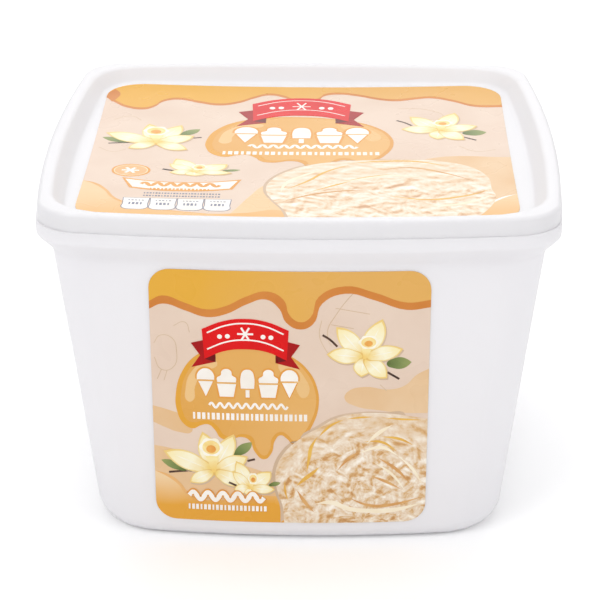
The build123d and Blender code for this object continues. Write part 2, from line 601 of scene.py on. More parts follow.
flowerLook = {
    "open": {
        "petals": ((8.1, 18.6, 9.2), (-12.3, 15.3, 8.8), (-16.7, 1.9, 8.0), (-1.7, -9.7, 8.6),
                   (9.9, -10.8, 8.2), (17.0, 3.6, 7.6)),
        "cup": (1.7, 7.5, 4.3, 3.3), "leaves": ((9.8, -3.4, 2, 11, 6.0),),
        "pods": (((-18.5, 11.1), (-15.2, 8.8), (-12.0, 5.4)), ((10.2, -7.6), (15.5, -11.1))),
    },
    "wide": {
        "petals": ((-4.6, 20.3, 9.0), (9.6, 19.4, 8.8), (15.6, 7.8, 8.4), (-22.7, 9.7, 9.6),
                   (-11.3, -6.2, 6.6), (13.5, -7.0, 7.6)),
        "cup": (-1.1, 12.4, 5.2, 4.7), "leaves": ((-12.4, 0.0, 158, 12.4, 4.2), (9.2, 8.4, 40, 10.8, 4.8)),
        "pods": (((-20.6, -1.7), (-15.5, -0.9), (-9.8, -0.2)), ((15.2, 5.8), (18.6, 6.8)),
                 ((5.7, -5.8), (8.9, -7.0))),
    },
    "small": {
        "petals": ((-6.0, 14.0, 6.8), (9.9, 8.5, 7.2), (-7.8, 8.5, 5.0), (-7.4, -0.8, 5.2), (0.4, -4.2, 6.2),
                   (11.3, -0.8, 5.0)),
        "cup": (1.4, 5.0, 2.2, 2.9), "leaves": ((8.5, 1.6, 14, 5.5, 2.2),),
        "pods": (((-9.6, 2.6), (-6.2, 1.0)),),
    },
}


def makeFlower(kind, at, size, layer):
    look = flowerLook[kind]
    shift = (at[0] + 0.5 * size[0], at[1] - 0.8 * size[1])
    for startU, startV, turn, length, width in look["leaves"]:
        blade = placed(petalOutline(length, width), (startU, startV), (1, 1), turn)
        root = placed([(startU, startV)], at, size)[0]
        inkPlate(placed(blade, at, size), "leaf", layer + 0.5, root, length * size[0])
        rib = placed([(1.0, 0), (length * 0.8, 0)], (startU, startV), (1, 1), turn)
        stroke(placed(rib, at, size), 0.35, "leafRib", layer + 0.9)
    for pod in look["pods"]:
        stroke(placed(pod, at, size), 1.0 * size[0], "pod", layer + 0.4, taper=False)
    for index, (tipU, tipV, width) in enumerate(look["petals"]):
        length, turn = math.hypot(tipU, tipV), math.degrees(math.atan2(tipV, tipU))
        full = placed(petalOutline(length, width), (0, 0), (1, 1), turn)
        middle = (tipU * 0.48, tipV * 0.48)
        inner = [(middle[0] + (u - middle[0]) * 0.88, middle[1] + (v - middle[1]) * 0.86, *rest)
                 for u, v, *rest in full]
        reach = length * (size[0] + size[1]) / 2
        inkPlate(placed(full, shift, size), "printShade", layer)
        inkPlate(placed(full, at, size), "petalEdge", layer + 1 + index, at, reach)
        inkPlate(placed(inner, at, size), "petal", layer + 1.4 + index, at, reach)
        fold = [(tipU * share, tipV * share) for share in (0.2, 0.5, 0.78)]
        stroke(placed(fold, at, size), 0.5, "petalFold", layer + 1.6 + index)
    # the trumpet: its tube, its pale frilled mouth and the warm hollow in it
    cupU, cupV, wide, high = look["cup"]
    top = layer + 2 + len(look["petals"])
    tube = [corner(cupU - 0.86 * wide, cupV), (cupU * 0.5 - 0.45 * wide, cupV * 0.45), corner(-0.6, -0.8),
            corner(0.8, -0.6), (cupU * 0.5 + 0.45 * wide, cupV * 0.45), corner(cupU + 0.86 * wide, cupV)]
    inkPlate(placed(tube, at, size), "tube", top, at, math.hypot(cupU, cupV) * size[1])
    frill = [(u * (1 + 0.07 * (-1) ** index), v * (1 + 0.07 * (-1) ** index))
             for index, (u, v) in enumerate(ringPoints(wide, high, 12))]
    inkPlate(placed(placed(frill, (cupU, cupV)), at, size), "petalFold", top + 0.5)
    for ink, share, drop in (("cupWall", 0.76, -0.02), ("petalHeart", 0.42, -0.2)):
        top += 0.5
        spot = placed([(cupU, cupV + drop * high)], at, size)[0]
        disc(spot, wide * share * size[0], high * share * size[1], ink, top + 0.5)


# Small plain pictures that stand where the print has words: a cone, a lolly and a cup, about 13 mm high

def makeCone(at, size, ink, layer):
    wafer = [corner(-3.4, 0.6), corner(3.4, 0.6), corner(0, -6.6)]
    ball = [corner(-4, 1.4), (-3.9, 3.6), (-2.2, 6.0), (0, 6.7), (2.2, 6.0), (3.9, 3.6), corner(4, 1.4)]
    inkAll((wafer, ball), at, size, ink, layer)


def makeLolly(at, size, ink, layer):
    body = [corner(-3.1, -2.4), (-3.1, 3.2), (-1.9, 6.0), (0, 6.6), (1.9, 6.0), (3.1, 3.2),
            corner(3.1, -2.4)]
    stick = [corner(-0.9, -3.1), corner(0.9, -3.1), corner(0.9, -6.6), corner(-0.9, -6.6)]
    inkAll((body, stick), at, size, ink, layer)


def makeCup(at, size, ink, layer):
    cup = [corner(-4.4, -0.4), corner(4.4, -0.4), corner(3.2, -6.5), corner(-3.2, -6.5)]
    balls = [corner(-4.3, 0.4), (-4.4, 2.4), (-2.6, 3.7), (-2.2, 5.6), (0, 6.7), (2.2, 5.6), (2.6, 3.7),
             (4.4, 2.4), corner(4.3, 0.4)]
    inkAll((cup, balls), at, size, ink, layer)


def pictureRow(startU, v, step, size, ink, layer):
    # each picture in its colour, over a slightly larger darker one
    for index, make in enumerate((makeCone, makeCup, makeLolly, makeCup, makeCone)):
        at = (startU + step * index, v)
        make(at, (size[0] * 1.2, size[1] * 1.12), "halo", layer - 1)
        make(at, size, ink, layer)


def dashRow(startU, endU, v, count, height, ink, layer):
    # a row of small upright bars, wide and narrow by turns
    step = (endU - startU) / count
    for index in range(count):
        half = step * (0.34 if index % 3 else 0.22)
        bar = [corner(-half, -height / 2), corner(half, -height / 2), corner(half, height / 2),
               corner(-half, height / 2)]
        inkPlate(placed(bar, (startU + step * (index + 0.5), v)), ink, layer)


def waveLine(startU, endU, v, height, waves, width, ink, layer):
    count = waves * 4
    path = [(startU + (endU - startU) * step / count, v + height * math.sin(math.pi / 2 * step))
            for step in range(count + 1)]
    stroke(path, width, ink, layer, taper=False)


def makeCrystal(middle, reach, width, at, size, layer):
    for turn in (0, 60, 120):
        arm = placed([(-reach, 0), (reach, 0)], middle, (1, 1), turn)
        stroke(placed(arm, at, size), width, "white", layer + turn / 240, taper=False)


# The plain red ribbon, drawn about its middle, 48 mm wide

def makeRibbon(at, size, layer):
    tail = [corner(13.5, 2.5), corner(24.5, -0.5), corner(20.5, -6.5), corner(24.5, -12.5),
            corner(13.5, -9.5)]
    fold = [corner(13.5, -5.6), corner(18.5, -8.2), corner(13.5, -9.6)]
    band = [corner(-19.5, 6.5), (-10, 10.6), (0, 12), (10, 10.6), corner(19.5, 6.5), corner(18.5, -8.2),
            (10, -4.2), (0, -2.9), (-10, -4.2), corner(-18.5, -8.2)]
    for side in (-1, 1):
        mirrored = (size[0] * side, size[1])
        inkPlate(placed(tail, at, mirrored), "ribbonTail", layer)
        inkPlate(placed(fold, at, mirrored), "ribbonFold", layer + 1)
    inkPlate(placed(band, at, size), "ribbon", layer + 2)
    for rise in (6.7, -1.4):    # pale lines along both edges
        edge = [(-17.2, rise - 1.9), (-9, rise + 1.8), (0, rise + 3.1), (9, rise + 1.8), (17.2, rise - 1.9)]
        stroke(placed(edge, at, size), 0.7, "white", layer + 3, taper=False)
    # a snow crystal between two dots
    makeCrystal((0, 4.6), 3.6, 0.9, at, size, layer + 3)
    for side in (-1, 1):
        for away in (8.0, 11.5):
            spot = placed([(side * away, 3.9 - away * 0.07)], at, size)[0]
            disc(spot, 1.1 * size[0], 1.1 * size[1], "white", layer + 3)


# The dripping blob behind the pictures, drawn about its middle on the front label

blobOutline = (
    (-22, 22), (-28.5, 14), (-31.9, 2), (-31.5, -7), (-28.6, -13.3), (-24.6, -15.4), (-21, -13.6),
    (-17.6, -13), (-14.8, -15.6), (-12, -19.9), (-8, -20.6), (-3, -18.9), (0.6, -20.4), (3.2, -26.6),
    (7.2, -30.2), (10.6, -27), (12.2, -20.5), (14.7, -17.6), (17.6, -19.4), (20.8, -22.4), (25.4, -18.4),
    (29.6, -11), (31.8, -2), (31, 7), (27, 15.5), (20, 22), (10, 26), (-1, 27.5), (-12, 26.5),
)
blobFace = (
    (-20.5, 21), (-26.3, 13.5), (-29.6, 2), (-29.2, -6), (-26.9, -11.2), (-23.6, -12.2), (-20.4, -11.2),
    (-17, -11), (-13.6, -13.6), (-10.4, -18.2), (-7, -18.9), (-2.6, -17.4), (1.8, -18.6), (4.2, -25),
    (7.4, -28.2), (9.8, -25.4), (11, -19), (14.9, -15.8), (18, -17.4), (21, -20.4), (24.6, -17), (28.4, -10),
    (30.6, -1.6), (29.8, 6.6), (26, 14.7), (19.4, 21), (9.8, 24.8), (-1, 26.2), (-11.4, 25.2),
)
blobGlints = (
    ((-24.6, 13.5), (-27.4, 5), (-26.6, -1.5), (-24.2, -1), (-23.2, 6), (-19.5, 13), (-13, 18.5), (-18, 19)),
    ((20, 18), (25.4, 12), (27.6, 4.5), (25, 1.5), (22.5, 4), (21, 9.5), (14, 16.5), (15, 19.5)),
)


def makeBlob(at, size, layer):
    inkPlate(placed(blobOutline, at, size), "blobEdge", layer)
    inkPlate(placed(blobFace, at, size), "blob", layer + 1)
    for glint in blobGlints:
        inkPlate(placed(glint, at, size), "blobGlint", layer + 2)


# The scoops' main furrows and ridges: (ink, width, path)

frontFurrows = (
    ("rippleGold", 1.7, ((2.8, -44), (6, -40.7), (9.8, -37.3), (13.3, -33.8))),
    ("rippleGold", 1.5, ((7.4, -37), (8.6, -28.7), (9.5, -23.5), (12.4, -18))),
    ("rippleGold", 1.1, ((12.8, -18.3), (15.6, -14.9), (18.7, -12.1), (24, -9.5))),
    ("rippleGold", 0.9, ((25, -9.2), (31.9, -8.4), (37.5, -8.2))),
    ("rippleGold", 1.0, ((42, -8.8), (50.5, -9.8), (58.5, -10.4))),
    ("rippleGold", 0.9, ((-2.4, -41), (-2.3, -46.8), (-0.9, -52))),
    ("rippleGold", 1.2, ((33, -20.8), (41.2, -21.3), (48.6, -26.8))),
    ("rippleGold", 1.3, ((40.7, -18.4), (49, -19.8), (55.6, -23.4))),
    ("rippleBrown", 1.5, ((39, -29), (47.4, -35.1), (54.4, -43.2))),
    ("rippleBrown", 1.4, ((36, -38.6), (43, -41.8), (50.6, -46.4))),
    ("rippleBrown", 1.3, ((21, -36), (26.5, -29.5), (32, -25.5))),
    ("rippleBrown", 1.7, ((3, -46), (6.3, -51.9), (11, -58))),
    ("rippleBrown", 1.4, ((26, -50), (36.5, -54.5), (47.4, -54.1), (60, -50.6))),
    ("rippleWhite", 1.9, ((34.3, -22), (39.6, -16.6), (45.9, -12.4))),
    ("rippleWhite", 1.7, ((31, -26.8), (41.2, -24), (48.8, -28.8))),
    ("rippleWhite", 1.2, ((37.4, -31.4), (45.9, -38.1), (52.2, -47))),
    ("rippleWhite", 1.3, ((49.1, -29), (55.2, -35.6), (60, -44.4))),
    ("rippleWhite", 2.2, ((11, -53.4), (18.7, -52.6), (26.5, -56), (36.5, -57.3), (47.4, -57.1),
                          (60.2, -53.8))),
)
topFurrows = (
    ("rippleGold", 1.4, ((-6, -58), (4, -46), (12, -33), (24, -22))),
    ("rippleGold", 1.4, ((22, -20.5), (38, -17.6), (56, -18.4), (70, -26))),
    ("rippleGold", 1.3, ((4, -62), (16, -52), (28, -42), (44, -35))),
    ("rippleBrown", 1.3, ((36, -30), (52, -27), (66, -34), (80, -46))),
    ("rippleBrown", 1.4, ((-8, -76), (4, -66), (18, -60), (34, -58))),
    ("rippleGold", 1.6, ((40, -66), (58, -72), (74, -68), (88, -59))),
    ("rippleWhite", 2.4, ((56, -80), (68, -80), (80, -74), (89, -66))),
    ("rippleWhite", 2.0, ((-8, -62), (-6, -50), (2, -38), (12, -29))),
    ("rippleWhite", 1.6, ((14, -52), (30, -42), (46, -38), (60, -42))),
)


def drawFront():
    look = frontLook
    edge, rise = look["width"] / 2, look["height"] / 2
    # faint line drawings on the ground: a cone at the right and lollies at the left
    cone = ((29, 55), (37.5, 52), (35, 43), (20, 27), (16.5, 33), (21, 44), (29, 55))
    for path in (cone, ((20, 46), (35, 43)), ((18, 38), (28, 36)), ((14, 40), (13, 33), (15, 27), (19, 21)),
                 ((-60, 27), (-57, 31), (-52, 30), (-50, 24), (-52, 15), (-57, 14), (-60, 20)),
                 ((-57, 14), (-59, 9)), ((-54.5, 13.5), (-56, 8.5)), ((-51, 36), (-46, 38), (-44, 33)),
                 ((40, 8), (45, 2), (47, -4)), ((50, 6), (46, 0), (44, -5))):
        stroke(path, 0.35, "faintLine", 0.6, taper=False)
    # tan waves: left, right and the one that fills the lower left
    inkPlate([corner(-edge, -4.5), (-54, -6.5), (-49, -8.5), (-46, -12), (-44, -17), (-50, -17.6),
              (-56, -15.5), corner(-edge, -13)], "wave", 1)
    inkPlate([corner(edge, 15.5), (56, 12.5), (51, 7.4), (44, 5.5), (33, 7), (25.5, 4.6), (24.3, 1),
              (29, -2.6), (40, -5), (50, -6.5), corner(edge, -7)], "wave", 1)
    inkPlate([corner(-edge, -25), (-54, -26.2), (-45, -29.5), (-33, -31), (-20, -34), (-8, -40), (-3, -50),
              corner(-3, -rise), corner(-40, -rise), corner(-edge, -50)], "wave", 1)
    # gold field along the bottom, with a darker line along its crest
    crest = [corner(-edge, -38.4), (-55, -41), (-50.2, -45), (-47.6, -49), (-43, -52), (-34, -52.6),
             (-22, -51), (-10, -49.4), corner(2, -50.5)]
    inkPlate(crest + [corner(2, -rise)] + cornerArc(look, -1, -1)[::-1], "goldField", 2)
    stroke([point[:2] for point in crest[:5]], 1.4, "waveEdge", 2.6)
    # drips from the top edge, with their darker border
    border = [corner(-edge, 43.8), (-55.5, 46.6), (-46, 43.8), (-36.2, 40.8), (-27.6, 42.6), (-18.4, 47.6),
              (-10.2, 50), (-4.4, 45.4), (-1.6, 39), (4.6, 35.6), (10.2, 38.2), (14.2, 48.2), (24.2, 53),
              (37, 49.7), (51, 44.8), corner(edge, 45.8)]
    gold = [corner(-edge, 47.6), (-55.5, 50.6), (-46, 47.6), (-36.2, 44.6), (-28, 46.4), (-19, 51.2),
            (-9.5, 53.9), (-2.6, 50), (0.2, 42.2), (4.8, 39.2), (9, 41.4), (12.6, 51.4), (24, 56.6),
            (37, 53.4), (51, 48.4), corner(edge, 49.4)]
    inkPlate(border + [corner(edge, 54), corner(40, 58), corner(-40, 58), corner(-edge, 54)], "dripEdge", 2)
    inkPlate(gold + cornerArc(look, 1, 1) + cornerArc(look, -1, 1)[::-1], "drip", 3)
    makeBlob((-19, 0), (1, 1), 3)
    makeRibbon((-19.5, 28.4), (0.98, 1.0), 8)
    pictureRow(-37.4, 8.4, 9.3, (0.96, 1.06), "white", 7)
    waveLine(-36, -1, -3.0, 1.1, 9, 1.2, "white", 7)
    dashRow(-44, 8, -8.6, 24, 3.4, "white", 7)
    makeFlower("open", (32.9, 21.8), (1, 1), 3)
    # the scoop at the lower right
    scoop = [corner(-2.9, -rise), (-3.4, -55), (-5.2, -49), (-6.6, -42), (-6.2, -34.5), (-2.4, -26.3),
             (3.2, -20.4), (8, -16.6), (12.3, -14.0), (21, -8.6), (30, -6.5), (43.5, -6.6), (53, -8.2),
             corner(edge, -10)]
    shade = placed([point[:2] for point in scoop[1:-1]], (-1.4, 0.6))
    inkPlate([corner(-4.5, -rise)] + shade + [corner(40, -20)], "printShade", 3)
    inkPlate(scoop + cornerArc(look, 1, -1), "scoopFront", 6)
    for index, (ink, width, path) in enumerate(frontFurrows):
        stroke(path, width, ink, 7.2 + 0.06 * index)
    makeFlower("wide", (-34.5, -37.1), (1, 1), 5)
    makeFlower("small", (-18.2, -45.3), (1, 1), 14)
    waveLine(-46, -12, -50.3, 1.9, 5, 3.4, "halo", 24)
    waveLine(-46, -12, -50.3, 1.9, 5, 2.3, "white", 24.5)
    dashRow(-47, -10.5, -56.2, 20, 2.6, "white", 24.5)


def raised(outline, by):
    # moves an outline up the label, except its points on the label's front and back edges
    rise = topLook["height"] / 2
    return [(u, v + by * (abs(v) < rise - 0.1), *rest) for u, v, *rest in outline]


def drawTop():
    look = topLook
    edge, rise = look["width"] / 2, look["height"] / 2
    up = 3.8      # waves, drips, badge, banner, boxes and scoop go this much further up the label
    for path in (((48, 66), (62, 64), (70, 52), (58, 48)), ((-94, 44), (-86, 50), (-80, 44)),
                 ((-98, 2), (-90, -4), (-84, 0)), ((76, 8), (84, 0), (94, 2))):
        stroke(path, 0.5, "faintLine", 0.6, taper=False)
    # tan and gold waves along the right, the bottom and the left
    inkPlate(raised([(60, -14), corner(edge, -13), corner(edge, -80), (70, -60), (50, -30)], up), "wave", 1)
    inkPlate(raised([corner(-34, -rise), (-27, -84), (-22, -68), (-14, -50), (-4, -44), (10, -60),
                     corner(20, -rise)], up), "waveWarm", 1)
    right = raised([corner(edge, -66), (92, -72), (80, -90), corner(70, -rise)], up)
    inkPlate(right + cornerArc(look, 1, -1)[::-1], "goldFieldTop", 2)
    stroke([(edge, -62), (92, -68), (81, -84)], 1.6, "white", 2.6)
    crest = raised([corner(-edge, -50.5), (-95, -54), (-88.5, -62.2), (-83, -73.2), (-76, -80), (-60, -88),
                    (-40, -92), (-22, -90), (-8, -86)], up)
    inkPlate(crest + [corner(2, -rise)] + cornerArc(look, -1, -1)[::-1], "goldFieldTop", 2)
    stroke([point[:2] for point in crest[:7]], 1.7, "waveEdge", 2.6)
    # drips from the back edge
    gold = raised([corner(-edge, 76.5), (-95, 68), (-89.7, 62.4), (-80.5, 59.8), (-75.5, 64), (-71.2, 73),
                   (-64, 76.6), (-53.1, 72.1), (-42.4, 68.8), (-33.6, 72.5), (-25, 81), (-17.6, 86),
                   (-9.9, 82.5), (-5.2, 77.4), (2, 75.4), (7.2, 78.5), (11.3, 86), (18, 88), (28, 85),
                   (38.4, 79.2), (47.4, 76.9), (56.5, 79.3), (65, 80.8), (75.9, 75.1), (86.9, 66.5),
                   corner(edge, 65)], up)
    border = [(u, v - 3.0, *rest) for u, v, *rest in gold]
    inkPlate(border + [corner(edge, 80), corner(60, 90), corner(0, 96), corner(-60, 90), corner(-edge, 80)],
             "dripEdge", 2)
    inkPlate(gold + cornerArc(look, 1, 1) + cornerArc(look, -1, 1)[::-1], "drip", 3)
    inkPlate([corner(-edge, 78), corner(-100.4, 85), corner(-97.6, 90.6), (-94.4, 84), (-95.6, 76),
              corner(-97.6, 71)], "dripEdge", 3.4)
    makeBlob((-0.6, 13.6), (1.42, 1.42), 3)
    makeRibbon((-0.8, 60.5), (1.28, 1.8), 8)
    pictureRow(-27.2, 24.5, 13.6, (1.4, 1.75), "white", 7)
    waveLine(-25, 27, 7.6, 2.0, 10, 2.0, "white", 7)
    dashRow(-38, 38, -2.4, 26, 4.6, "white", 7)
    makeFlower("wide", (-70, 10.5), (1.15, 1.4), 3)
    makeFlower("open", (67.6, 32), (1.12, 1.4), 3)
    makeFlower("small", (-49, -31), (1.55, 1.35), 3)
    # round badge with a plain crystal
    badge = (-78.7, -34.2 + up)
    for ink, share in (("halo", 1.0), ("ripplePale", 0.88), ("badge", 0.82)):
        disc(badge, 9.4 * share, 8.8 * share, ink, 4 - share)
    makeCrystal((0, 0), 4.2, 1.5, badge, (1, 1), 5)
    # white banner with an orange border, and the fine grey print under it
    banner = raised([corner(-81.5, -44.5), (-67, -48.5), (-54, -49.5), (-41, -48.5), corner(-26.5, -44.5),
                     corner(-30, -58.5), (-42, -61.5), (-54, -62.2), (-66, -61.5), corner(-77, -58.5)], up)
    middle = -54 + up
    inkPlate(banner, "halo", 3)
    inner = [(-54 + (u + 54) * 0.94, middle + (v - middle) * 0.78, *rest) for u, v, *rest in banner]
    inkPlate(inner, "white", 4)
    waveLine(-72, -36, middle + 0.8, 1.9, 6, 2.4, "halo", 5)
    dashRow(-68, -40, middle - 5.6, 16, 2.0, "halo", 5)
    for v in (-65.5, -69.2):
        dashRow(-70, -35, v + up, 26, 1.5, "greyPrint", 3)
    # four white boxes with grey lines and a plain bar in each
    for index in range(4):
        middle = (-72.3 + 12.2 * index, -80.4 + up)
        box = [corner(-5.7, 7.2), corner(5.7, 7.2), (5.4, 0), (5.0, -6), (0, -7.4), (-5.0, -6), (-5.4, 0)]
        inkPlate(placed(box, middle, (1.07, 1.1)), "greyPrint", 3)
        inkPlate(placed(box, middle, (1.0, 1.04)), "white", 4)
        dashRow(middle[0] - 3.8, middle[0] + 3.8, middle[1] + 4.4, 5, 1.1, "greyPrint", 5)
        dashRow(middle[0] - 3.4, middle[0] + 3.4, middle[1], 4, 3.0, "greyPrint", 5)
    # the scoop at the lower right
    scoop = raised([corner(-2, -rise), (-6, -86), (-10.8, -74), (-14.6, -60.7), (-13.1, -46), (-4.1, -30.4),
                    (4, -23.5), (12.3, -19.5), (28.9, -16.1), (49.7, -15.1), (67.5, -18.3), (80.8, -28),
                    (88.1, -43.5), (88.6, -58.6), (90, -68), (86, -84), corner(74, -rise)], up)
    shade = placed([point[:2] for point in scoop[1:-1]], (-1.4, 0.9))
    inkPlate([corner(-4, -rise)] + shade + [corner(60, -rise)], "printShade", 3)
    inkPlate(scoop, "scoopTop", 6)
    for index, (ink, width, path) in enumerate(topFurrows):
        stroke(raised(path, up), width, ink, 7.2 + 0.06 * index)


def makeFilm(name, look, draw, shell, side, middle):
    film = roundedSheet(name, look["width"], look["height"], look["corner"])
    thicken(film, filmLook["thick"])
    film.data.materials.append(inks["ground"])
    film.data.attributes.new("reach", "FLOAT", "POINT")
    plates.clear()
    draw()
    makeActive(film)
    for plate in plates:
        plate.select_set(True)
    bpy.ops.object.join()
    cutStrips(film, filmLook["strip"])
    keepFlatPlace(film)
    layOn(film, shell, side, look, middle)
    print("film", name, len(film.data.polygons), "faces")
    return film


# Materials

def addNode(material, kind, inputs, **settings):
    # one more node: its settings first, then a value or another node's output for each of its inputs
    node = material.node_tree.nodes.new("ShaderNode" + kind)
    for name, value in settings.items():
        setattr(node, name, value)
    feed(material, node, inputs)
    return node


def feed(material, node, inputs):
    for name, value in inputs.items():
        if isinstance(value, bpy.types.NodeSocket):
            material.node_tree.links.new(value, node.inputs[name])
        else:
            node.inputs[name].default_value = value


def addNoise(material, where, scale, **more):
    return addNode(material, "TexNoise", {"Vector": where, "Scale": scale, **more}).outputs["Fac"]


def rescaled(material, value, low, high, start=0.0, end=1.0):
    # turns the span from start to end into the one from low to high
    spans = {"From Min": start, "From Max": end, "To Min": low, "To Max": high}
    return addNode(material, "MapRange", {"Value": value, **spans}).outputs["Result"]


def maths(material, operation, *values):
    return addNode(material, "Math", dict(enumerate(values)), operation=operation).outputs["Value"]


def startMaterial(name):
    material = bpy.data.materials.new(name)
    material.use_nodes = True
    return material


def feedShader(material, inputs):
    feed(material, material.node_tree.nodes["Principled BSDF"], inputs)


plasticLook = {
    "base": (0.83, 0.815, 0.845), "pale": (0.865, 0.855, 0.875), "cloud": 9.0,    # two tints and their size
    "roughness": (0.31, 0.43),
    "grain": 900.0, "grainStrength": 0.03, "grainDepth": 0.0002,
    "glow": 0.3, "glowReach": 0.006,        # how much light goes in, and how far, m
}


def makePlastic(name):
    look = plasticLook
    material = startMaterial(name)
    where = addNode(material, "TexCoord", {}).outputs["Object"]
    cloud = addNoise(material, where, look["cloud"], Detail=3)
    tints = {"Factor": cloud, "A": (*look["base"], 1), "B": (*look["pale"], 1)}
    grain = {"Strength": look["grainStrength"], "Distance": look["grainDepth"],
             "Height": addNoise(material, where, look["grain"], Detail=2)}
    feedShader(material, {
        "Base Color": addNode(material, "Mix", tints, data_type="RGBA").outputs["Result"],
        "Normal": addNode(material, "Bump", grain).outputs["Normal"],
        "Roughness": rescaled(material, cloud, *look["roughness"]),
        "Subsurface Weight": look["glow"],
        "Subsurface Radius": (look["glowReach"],) * 3,
        "Subsurface Scale": 1.0,
    })
    return material


def srgb(red, green, blue):
    # a colour written in 0-255 steps, as the shader wants it
    steps = [step / 255 for step in (red, green, blue)]
    return tuple(step / 12.92 if step <= 0.04045 else ((step + 0.055) / 1.055)
                 ** 2.4 for step in steps) + (1,)


inkLook = {
    # main colour, the colour it drifts to, and the size of the drift across the label, per decimetre
    "ground": ((230, 208, 190), (225, 201, 182), 3.0),
    "faintLine": ((216, 190, 160), (206, 178, 146), 6.0),
    "printShade": ((205, 178, 150), (214, 188, 162), 5.0),
    "wave": ((227, 188, 142), (231, 198, 158), 3.0),
    "waveWarm": ((238, 200, 152), (240, 208, 166), 3.0),
    "waveEdge": ((228, 174, 108), (234, 184, 122), 5.0),
    "halo": ((224, 154, 66), (228, 162, 80), 5.0),
    "badge": ((232, 178, 120), (236, 188, 134), 5.0),
    "dripEdge": ((213, 136, 64), (205, 126, 54), 4.0),
    "white": ((250, 246, 240), (243, 236, 226), 5.0),
    "ribbon": ((224, 8, 12), (212, 4, 8), 4.0),
    "ribbonTail": ((176, 8, 12), (160, 4, 8), 6.0),
    "ribbonFold": ((112, 0, 4), (98, 0, 2), 6.0),
    "pod": ((66, 48, 42), (98, 72, 58), 20.0),
    "leafRib": ((182, 190, 132), (160, 172, 116), 12.0),
    "greyPrint": ((112, 116, 138), (138, 140, 158), 30.0),
    "rippleGold": ((233, 188, 92), (222, 168, 76), 14.0),
    "ripplePale": ((246, 228, 192), (238, 212, 168), 14.0),
    "rippleBrown": ((208, 152, 92), (222, 174, 112), 14.0),
    "rippleWhite": ((250, 239, 216), (244, 228, 198), 9.0),
    "petalFold": ((253, 250, 238), (250, 243, 218), 12.0),
    "cupWall": ((248, 226, 160), (244, 212, 132), 24.0),
    "petalHeart": ((236, 170, 86), (226, 148, 66), 20.0),
}
fadeLook = {
    # colours from the root of a field to its far end
    "petal": ((242, 212, 130), (251, 245, 216), (248, 232, 176)),
    "petalEdge": ((230, 188, 104), (241, 220, 156), (238, 206, 128)),
    "tube": ((242, 206, 118), (249, 232, 172), (246, 222, 146)),
    "leaf": ((96, 112, 58), (122, 138, 80), (148, 158, 96)),
}
slopeLook = {
    # the first and last colour, the direction across the label, and where each is reached, in decimetres
    "drip": ((228, 172, 62), (226, 174, 94), "X", -0.5, 0.25),
    "blob": ((224, 166, 82), (230, 180, 110), "X", -0.5, 0.25),
    "blobEdge": ((226, 164, 58), (222, 160, 78), "X", -0.5, 0.25),
    "blobGlint": ((236, 196, 138), (233, 190, 128), "X", -0.5, 0.25),
    "goldField": ((229, 165, 62), (240, 208, 164), "Y", -0.56, -0.42),
    "goldFieldTop": ((232, 178, 108), (238, 204, 158), "Y", -0.96, -0.62),
}
gloss = {"roughness": (0.24, 0.32), "patch": 4.0, "specular": 0.2}


def finishInk(material, where, colour):
    # its colour, and the film's own surface, which is smooth and a little uneven
    feedShader(material, {
        "Base Color": colour,
        "Roughness": rescaled(material, addNoise(material, where, gloss["patch"]), *gloss["roughness"]),
        "Specular IOR Level": gloss["specular"],
    })
    return material


def startInk(name):
    material = startMaterial(name)
    return material, addNode(material, "UVMap", {}, uv_map="label").outputs["UV"]


def colourRamp(material, factor, stops):
    ramp = addNode(material, "ValToRGB", {"Fac": factor})
    for index, (place, colour) in enumerate(stops):
        elements = ramp.color_ramp.elements
        stop = elements[index] if index < 2 else elements.new(place)
        stop.position = place
        stop.color = srgb(*colour)
    return ramp.outputs["Color"]


def makeInk(name):
    # one printed colour that drifts a little towards another
    main, other, scale = inkLook[name]
    material, where = startInk(name)
    cloud = addNoise(material, where, scale, Detail=3)
    return finishInk(material, where, colourRamp(material, cloud, ((0.38, main), (0.66, other))))


def makeFadingInk(name):
    # a printed field that changes from its root to its tip, with fine streaks
    root, middle, tip = fadeLook[name]
    material, where = startInk(name)
    reach = addNode(material, "Attribute", {}, attribute_name="reach").outputs["Fac"]
    drift = rescaled(material, addNoise(material, where, 26, Detail=4), -0.16, 0.16)
    stops = ((0.12, root), (0.92, tip), (0.5, middle))
    return finishInk(material, where, colourRamp(material, maths(material, "ADD", reach, drift), stops))


def makeSlopingInk(name):
    # a printed field that changes slowly in one direction
    first, last, axis, start, end = slopeLook[name]
    material, where = startInk(name)
    place = addNode(material, "SeparateXYZ", {"Vector": where}).outputs[axis]
    drift = rescaled(material, addNoise(material, where, 2.4), -0.5 * (end - start), 0.5 * (end - start))
    share = rescaled(material, maths(material, "ADD", place, drift), 0, 1, start, end)
    return finishInk(material, where, colourRamp(material, share, ((0.0, first), (1.0, last))))


scoopLook = {
    # the middle that the ridges run round; ridges along and across, the way to their dark side and how strong
    # they are; where the crumbs begin and are full, their grain, dark side and strength; the stops' middle
    "scoopFront": {
        "centre": (0.33, -0.62), "streak": (3.6, 15.0), "ridgeShade": (0.0, 0.34), "ridge": 0.7,
        "crumbs": (0.50, 0.36), "grain": 15.0, "crumbShade": (-0.012, 0.02), "crumb": 1.15, "level": 0.52,
        "stops": ((0.26, (198, 146, 92)), (0.80, (254, 247, 236)), (0.38, (216, 174, 122)),
                  (0.46, (226, 197, 160)), (0.54, (232, 210, 184)), (0.64, (241, 226, 206))),
    },
    "scoopTop": {
        "centre": (0.42, -1.50), "streak": (8.0, 12.0), "ridgeShade": (0.0, 0.34), "ridge": 0.7,
        "crumbs": (1.20, 0.98), "grain": 9.0, "crumbShade": (-0.01, 0.034), "crumb": 0.95, "level": 0.52,
        "stops": ((0.26, (206, 158, 118)), (0.80, (254, 248, 238)), (0.38, (224, 186, 146)),
                  (0.46, (234, 208, 176)), (0.54, (240, 220, 196)), (0.64, (246, 234, 216))),
    },
}


